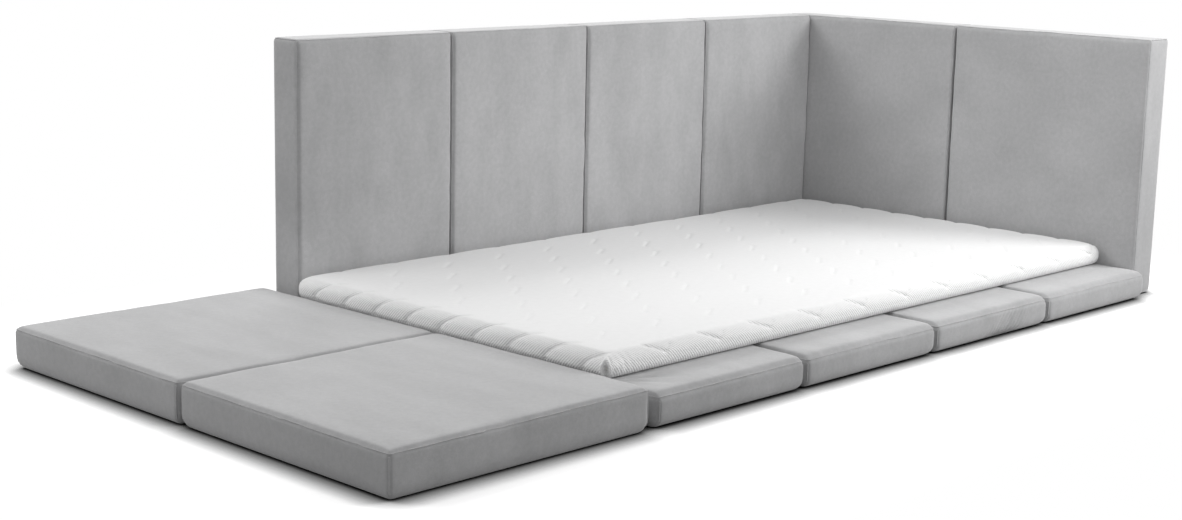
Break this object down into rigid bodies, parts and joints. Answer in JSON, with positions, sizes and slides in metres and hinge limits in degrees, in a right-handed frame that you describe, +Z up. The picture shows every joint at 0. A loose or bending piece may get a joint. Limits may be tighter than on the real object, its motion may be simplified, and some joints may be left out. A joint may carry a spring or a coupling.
{
  "type": "floor bed",
  "caption": "Low modular floor bed: a folding padded base with a quilted mattress, folding padded walls along the back and head, and a folding foot mat.",
  "frame": {"origin": "on the floor, under the middle of the whole bed's box", "axes": "+X from the foot to the head, +Y from the open front to the back wall, +Z up"},
  "size_m": [2.79, 1.301, 0.712],
  "materials": {
    "grey_velvet": "matte",
    "quilted_knit": "matte",
    "foam": "matte",
    "grey_zip": "matte",
    "white_zip": "matte",
    "zip_metal": "satin",
    "hook_tape": "matte"
  },
  "bodies": {
    "bed_base": {"base_1_cover": "grey_velvet", "base_1_foam_core": "foam", "base_2_cover": "grey_velvet", "base_2_foam_core": "foam", "base_3_cover": "grey_velvet", "base_3_foam_core": "foam", "base_4_cover": "grey_velvet", "base_4_foam_core": "foam", "back_wall_4_cover": "grey_velvet", "back_wall_4_foam_core": "foam", "head_wall_back_cover": "grey_velvet", "head_wall_back_foam_core": "foam", "foot_back_cover": "grey_velvet", "foot_back_foam_core": "foam", "base_zips": "grey_zip", "base_seam_hinges": "grey_velvet", "back_wall_4_zip": "grey_zip", "head_wall_back_zip": "grey_zip", "foot_back_zip": "grey_zip", "back_wall_hinge_3": "grey_velvet", "head_wall_hinge": "grey_velvet", "foot_mat_hinge": "grey_velvet", "corner_hook_tape": "hook_tape"},
    "foot_front": {"foot_front_cover": "grey_velvet", "foot_front_foam_core": "foam", "foot_front_zip": "grey_zip"},
    "head_wall_front": {"head_wall_front_cover": "grey_velvet", "head_wall_front_foam_core": "foam", "head_wall_front_zip": "grey_zip"},
    "back_wall_3": {"back_wall_3_cover": "grey_velvet", "back_wall_3_foam_core": "foam", "back_wall_3_zip": "grey_zip", "back_wall_hinge_2": "grey_velvet"},
    "back_wall_2": {"back_wall_2_cover": "grey_velvet", "back_wall_2_foam_core": "foam", "back_wall_2_zip": "grey_zip", "back_wall_hinge_1": "grey_velvet"},
    "back_wall_1": {"back_wall_1_cover": "grey_velvet", "back_wall_1_foam_core": "foam", "back_wall_1_zip": "grey_zip"},
    "mattress": {"mattress_cover": "quilted_knit", "mattress_foam_core": "foam", "mattress_zip": "white_zip"},
    "base_1_slider": {"base_1_zip_slider": "zip_metal"},
    "base_2_slider": {"base_2_zip_slider": "zip_metal"},
    "base_3_slider": {"base_3_zip_slider": "zip_metal"},
    "base_4_slider": {"base_4_zip_slider": "zip_metal"},
    "foot_front_slider": {"foot_front_zip_slider": "zip_metal"},
    "foot_back_slider": {"foot_back_zip_slider": "zip_metal"},
    "back_wall_1_slider": {"back_wall_1_zip_slider": "zip_metal"},
    "back_wall_2_slider": {"back_wall_2_zip_slider": "zip_metal"},
    "back_wall_3_slider": {"back_wall_3_zip_slider": "zip_metal"},
    "back_wall_4_slider": {"back_wall_4_zip_slider": "zip_metal"},
    "head_wall_front_slider": {"head_wall_front_zip_slider": "zip_metal"},
    "head_wall_back_slider": {"head_wall_back_zip_slider": "zip_metal"},
    "mattress_slider": {"mattress_zip_slider": "zip_metal"}
  },
  "joints": [
    {"name": "back_wall_fold", "type": "hinge", "parent": "bed_base", "child": "back_wall_3", "pos_m": [0.7973, 0.6418, 0], "axis": [0, 0, -1], "range_deg": [0, 180]},
    {"name": "back_wall_fold_2", "type": "hinge", "parent": "back_wall_3", "child": "back_wall_2", "pos_m": [0.30105, 0.538, 0], "axis": [0, 0, 1], "range_deg": [0, 180]},
    {"name": "back_wall_fold_1", "type": "hinge", "parent": "back_wall_2", "child": "back_wall_1", "pos_m": [-0.1952, 0.6418, 0], "axis": [0, 0, -1], "range_deg": [0, 180]},
    {"name": "head_wall_fold", "type": "hinge", "parent": "bed_base", "child": "head_wall_front", "pos_m": [1.39535, 0.0138, 0], "axis": [0, 0, 1], "range_deg": [0, 180]},
    {"name": "foot_mat_fold", "type": "hinge", "parent": "bed_base", "child": "foot_front", "pos_m": [-0.71065, 0, 0.0974], "axis": [-1, 0, 0], "range_deg": [0, 180]},
    {"name": "mattress_lift", "type": "slide", "parent": "bed_base", "child": "mattress", "axis": [0, 0, 1], "range_m": [0, 0.7]},
    {"name": "base_1_zip", "type": "slide", "parent": "bed_base", "child": "base_1_slider", "axis": [1, 0, 0], "range_m": [0, 0.344]},
    {"name": "base_2_zip", "type": "slide", "parent": "bed_base", "child": "base_2_slider", "axis": [1, 0, 0], "range_m": [0, 0.344]},
    {"name": "base_3_zip", "type": "slide", "parent": "bed_base", "child": "base_3_slider", "axis": [1, 0, 0], "range_m": [0, 0.344]},
    {"name": "base_4_zip", "type": "slide", "parent": "bed_base", "child": "base_4_slider", "axis": [1, 0, 0], "range_m": [0, 0.344]},
    {"name": "foot_front_zip", "type": "slide", "parent": "foot_front", "child": "foot_front_slider", "axis": [0, 1, 0], "range_m": [0, 0.494]},
    {"name": "foot_back_zip", "type": "slide", "parent": "bed_base", "child": "foot_back_slider", "axis": [0, 1, 0], "range_m": [0, 0.494]},
    {"name": "back_wall_1_zip", "type": "slide", "parent": "back_wall_1", "child": "back_wall_1_slider", "axis": [-1, 0, 0], "range_m": [0, 0.339]},
    {"name": "back_wall_2_zip", "type": "slide", "parent": "back_wall_2", "child": "back_wall_2_slider", "axis": [-1, 0, 0], "range_m": [0, 0.339]},
    {"name": "back_wall_3_zip", "type": "slide", "parent": "back_wall_3", "child": "back_wall_3_slider", "axis": [-1, 0, 0], "range_m": [0, 0.339]},
    {"name": "back_wall_4_zip", "type": "slide", "parent": "bed_base", "child": "back_wall_4_slider", "axis": [-1, 0, 0], "range_m": [0, 0.339]},
    {"name": "head_wall_front_zip", "type": "slide", "parent": "head_wall_front", "child": "head_wall_front_slider", "axis": [0, 1, 0], "range_m": [0, 0.471]},
    {"name": "head_wall_back_zip", "type": "slide", "parent": "bed_base", "child": "head_wall_back_slider", "axis": [0, 1, 0], "range_m": [0, 0.471]},
    {"name": "mattress_zip", "type": "slide", "parent": "mattress", "child": "mattress_slider", "axis": [0, 1, 0], "range_m": [0, 0.904]}
  ],
  "couplings": [
    {"joint": "back_wall_fold_2", "follows": "back_wall_fold", "ratio": 1},
    {"joint": "back_wall_fold_1", "follows": "back_wall_fold", "ratio": 1}
  ]
}
